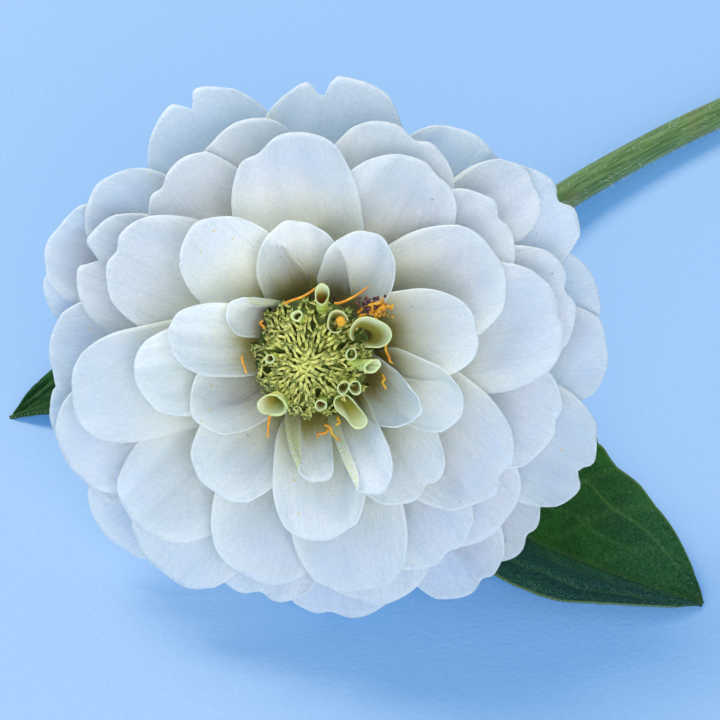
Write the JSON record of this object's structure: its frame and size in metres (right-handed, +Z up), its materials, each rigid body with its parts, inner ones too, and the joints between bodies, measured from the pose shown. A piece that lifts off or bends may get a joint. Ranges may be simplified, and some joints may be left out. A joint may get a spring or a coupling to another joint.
{
  "type": "zinnia flower",
  "caption": "Double zinnia bloom cut with a length of stem and an opposite pair of leaves, lying on a flat surface on its lowest petals, a leaf and the stem.",
  "frame": {"origin": "bottom centre of the flower's box, on the surface that it lies on", "axes": "+Y along the lying stem from the bloom to the cut end, +Z up from the surface, +X to the right"},
  "size_m": [0.1122, 0.1864, 0.0669],
  "materials": {
    "petal": "soft matte with a faint satin bloom",
    "young_petal": "soft matte, cream to yellow-green",
    "chaff": "satin, yellow-green",
    "style": "satin, orange",
    "receptacle": "matte, pale pith",
    "bract": "matte, dark edged",
    "stem": "matte with fine hairs",
    "leaf": "matte with fine rough hairs"
  },
  "bodies": {
    "root": {"disc": "chaff", "involucre": "bract", "leaf_left": "leaf", "leaf_right": "leaf", "petal_fourth_01": "petal", "petal_fourth_02": "petal", "petal_fourth_03": "petal", "petal_fourth_04": "petal", "petal_fourth_05": "petal", "petal_fourth_06": "petal", "petal_fourth_07": "petal", "petal_fourth_08": "petal", "petal_fourth_09": "petal", "petal_fourth_10": "petal", "petal_inner_01": "young_petal", "petal_inner_02": "young_petal", "petal_inner_03": "young_petal", "petal_inner_04": "young_petal", "petal_outer_01": "petal", "petal_outer_02": "petal", "petal_outer_03": "petal", "petal_outer_04": "petal", "petal_outer_05": "petal", "petal_outer_06": "petal", "petal_outer_07": "petal", "petal_outer_08": "petal", "petal_outer_09": "petal", "petal_outer_10": "petal", "petal_outer_11": "petal", "petal_outer_12": "petal", "petal_outer_13": "petal", "petal_outer_14": "petal", "petal_outer_15": "petal", "petal_outer_16": "petal", "petal_outer_17": "petal", "petal_second_01": "petal", "petal_second_02": "petal", "petal_second_03": "petal", "petal_second_04": "petal", "petal_second_05": "petal", "petal_second_06": "petal", "petal_second_07": "petal", "petal_second_08": "petal", "petal_second_09": "petal", "petal_second_10": "petal", "petal_second_11": "petal", "petal_second_12": "petal", "petal_third_01": "petal", "petal_third_02": "petal", "petal_third_03": "petal", "petal_third_04": "petal", "petal_third_05": "petal", "petal_third_06": "petal", "petal_third_07": "petal", "petal_third_08": "petal", "petal_third_09": "petal", "petal_third_10": "petal", "petal_third_11": "petal", "receptacle": "receptacle", "stem": "stem"}
  },
  "joints": []
}
